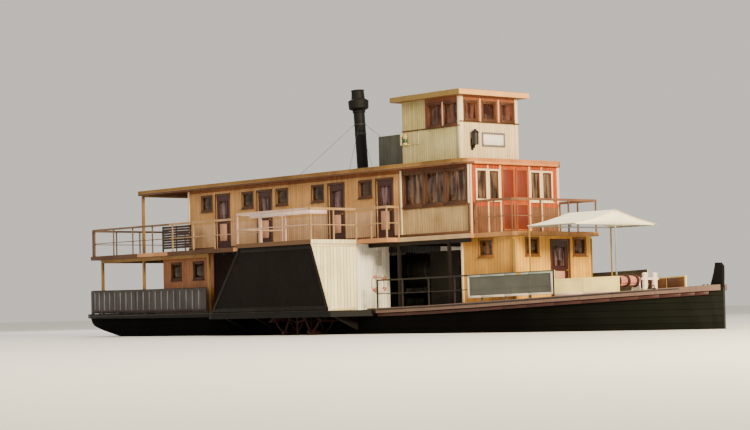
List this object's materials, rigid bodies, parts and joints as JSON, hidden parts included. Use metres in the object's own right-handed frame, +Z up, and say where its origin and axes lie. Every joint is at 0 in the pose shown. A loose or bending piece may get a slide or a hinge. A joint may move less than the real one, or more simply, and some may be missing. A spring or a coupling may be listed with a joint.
{
  "type": "paddle steamer",
  "caption": "Side-wheel river paddle steamer with cabins on two decks, a wheelhouse, a funnel and boxed paddle wheels that turn.",
  "frame": {"origin": "under the middle of the boat, at the level of the flat bottom; the water line is 0.85 m above it", "axes": "+X to the bow, +Y to port, +Z up"},
  "size_m": [32, 9.8, 9.9027],
  "materials": {
    "hull_paint": "black bitumen paint, dull",
    "deck_planks": "weathered deck planking",
    "guard_paint": "pale gloss paint over timber",
    "dark_timber": "dark oiled timber",
    "black_iron": "black heat-proof paint",
    "box_paint": "very dark brown gloss paint",
    "white_paint": "white gloss paint",
    "deck_edge_paint": "buff paint",
    "roof_felt": "painted canvas over boards",
    "house_paint": "tan paint over boards",
    "saloon_paint": "orange-red paint",
    "door_paint": "maroon gloss paint",
    "board_paint": "buff-green paint over boards",
    "ochre_paint": "golden ochre paint",
    "varnished_wood": "varnished timber",
    "boiler_iron": "black iron",
    "tank_paint": "grey paint",
    "awning_canvas": "cream canvas",
    "rail_paint": "grey paint over slats",
    "wheel_paint": "oxide-red paint"
  },
  "bodies": {
    "steamer": {"hull": "hull_paint", "main_deck": "deck_planks", "guard_starboard": "guard_paint", "guard_port": "guard_paint", "stem_post": "dark_timber", "mooring_bitts_fore": "dark_timber", "mooring_bitts_aft": "dark_timber", "aft_stair": "dark_timber", "engine": "black_iron", "funnel": "black_iron", "paddle_box_starboard": "box_paint", "paddle_box_port": "box_paint", "engine_room_walls": "white_paint", "wheelhouse_front": "white_paint", "main_rail_starboard": "white_paint", "main_rail_port": "white_paint", "awning_frame": "white_paint", "windlass_frame": "white_paint", "fore_rail": "white_paint", "upper_deck": "deck_edge_paint", "aft_frame": "deck_edge_paint", "fore_frame": "deck_edge_paint", "wheelhouse_roof": "deck_edge_paint", "upper_rail_aft": "deck_edge_paint", "upper_rail_starboard": "deck_edge_paint", "upper_rail_port": "deck_edge_paint", "hurricane_deck": "roof_felt", "upper_house_side_starboard": "house_paint", "upper_house_side_port": "house_paint", "upper_house_aft": "house_paint", "verandah_frame": "house_paint", "upper_house_front": "saloon_paint", "wheelhouse_shell": "board_paint", "forward_cabin_shell": "ochre_paint", "forward_cabin_front": "ochre_paint", "aft_cabin_shell": "varnished_wood", "aft_cabin_end": "varnished_wood", "steering_stand": "varnished_wood", "boiler": "boiler_iron", "roof_tank": "tank_paint", "awning": "awning_canvas", "stern_rail": "rail_paint"},
    "paddle_wheels": {"paddle_wheel_starboard": "wheel_paint", "paddle_wheel_port": "wheel_paint", "paddle_shaft": "black_iron"},
    "rudder": {"rudder": "black_iron"},
    "steering_wheel": {"steering_wheel": "varnished_wood"},
    "windlass_drum": {"windlass_drum": "wheel_paint"},
    "cabin_door_starboard_1": {"cabin_door_starboard_1": "door_paint"},
    "cabin_door_port_1": {"cabin_door_port_1": "door_paint"},
    "cabin_door_starboard_2": {"cabin_door_starboard_2": "door_paint"},
    "cabin_door_port_2": {"cabin_door_port_2": "door_paint"},
    "cabin_door_starboard_3": {"cabin_door_starboard_3": "door_paint"},
    "cabin_door_port_3": {"cabin_door_port_3": "door_paint"},
    "cabin_door_starboard_4": {"cabin_door_starboard_4": "door_paint"},
    "cabin_door_port_4": {"cabin_door_port_4": "door_paint"},
    "wheelhouse_door": {"wheelhouse_door": "door_paint"},
    "forward_cabin_door": {"forward_cabin_door": "door_paint"},
    "aft_cabin_door": {"aft_cabin_door": "door_paint"}
  },
  "joints": [
    {"name": "paddle_turn", "type": "hinge", "parent": "steamer", "child": "paddle_wheels", "pos_m": [-0.3, 0, 2.2], "axis": [0, 1, 0], "continuous": true},
    {"name": "rudder_turn", "type": "hinge", "parent": "steamer", "child": "rudder", "pos_m": [-14.15, 0, 0.5], "axis": [0, 0, 1], "range_deg": [-35, 35]},
    {"name": "steering_turn", "type": "hinge", "parent": "steamer", "child": "steering_wheel", "pos_m": [4.98, 0, 7.7], "axis": [1, 0, 0], "range_deg": [-350, 350]},
    {"name": "windlass_turn", "type": "hinge", "parent": "steamer", "child": "windlass_drum", "pos_m": [11.96, 0, 2.43], "axis": [0, 1, 0], "continuous": true},
    {"name": "cabin_door_starboard_1_swing", "type": "hinge", "parent": "steamer", "child": "cabin_door_starboard_1", "pos_m": [-7.147, -2.0777, 4.2], "axis": [0, 0, 1], "range_deg": [0, 85]},
    {"name": "cabin_door_port_1_swing", "type": "hinge", "parent": "steamer", "child": "cabin_door_port_1", "pos_m": [-7.147, 2.0777, 4.2], "axis": [0, 0, -1], "range_deg": [0, 85]},
    {"name": "cabin_door_starboard_2_swing", "type": "hinge", "parent": "steamer", "child": "cabin_door_starboard_2", "pos_m": [-4.527, -2.0777, 4.2], "axis": [0, 0, 1], "range_deg": [0, 85]},
    {"name": "cabin_door_port_2_swing", "type": "hinge", "parent": "steamer", "child": "cabin_door_port_2", "pos_m": [-4.527, 2.0777, 4.2], "axis": [0, 0, -1], "range_deg": [0, 85]},
    {"name": "cabin_door_starboard_3_swing", "type": "hinge", "parent": "steamer", "child": "cabin_door_starboard_3", "pos_m": [-0.317, -2.0777, 4.2], "axis": [0, 0, 1], "range_deg": [0, 85]},
    {"name": "cabin_door_port_3_swing", "type": "hinge", "parent": "steamer", "child": "cabin_door_port_3", "pos_m": [-0.317, 2.0777, 4.2], "axis": [0, 0, -1], "range_deg": [0, 85]},
    {"name": "cabin_door_starboard_4_swing", "type": "hinge", "parent": "steamer", "child": "cabin_door_starboard_4", "pos_m": [2.323, -2.0777, 4.2], "axis": [0, 0, 1], "range_deg": [0, 85]},
    {"name": "cabin_door_port_4_swing", "type": "hinge", "parent": "steamer", "child": "cabin_door_port_4", "pos_m": [2.323, 2.0777, 4.2], "axis": [0, 0, -1], "range_deg": [0, 85]},
    {"name": "wheelhouse_door_swing", "type": "hinge", "parent": "steamer", "child": "wheelhouse_door", "pos_m": [2.9623, 0.412, 6.8], "axis": [0, 0, 1], "range_deg": [0, 85]},
    {"name": "forward_cabin_door_swing", "type": "hinge", "parent": "steamer", "child": "forward_cabin_door", "pos_m": [8.7177, -0.102, 2], "axis": [0, 0, 1], "range_deg": [0, 85]},
    {"name": "aft_cabin_door_swing", "type": "hinge", "parent": "steamer", "child": "aft_cabin_door", "pos_m": [-10.9277, 0.412, 2], "axis": [0, 0, 1], "range_deg": [0, 85]}
  ],
  "couplings": [
    {"joint": "steering_turn", "follows": "rudder_turn", "ratio": 10}
  ]
}
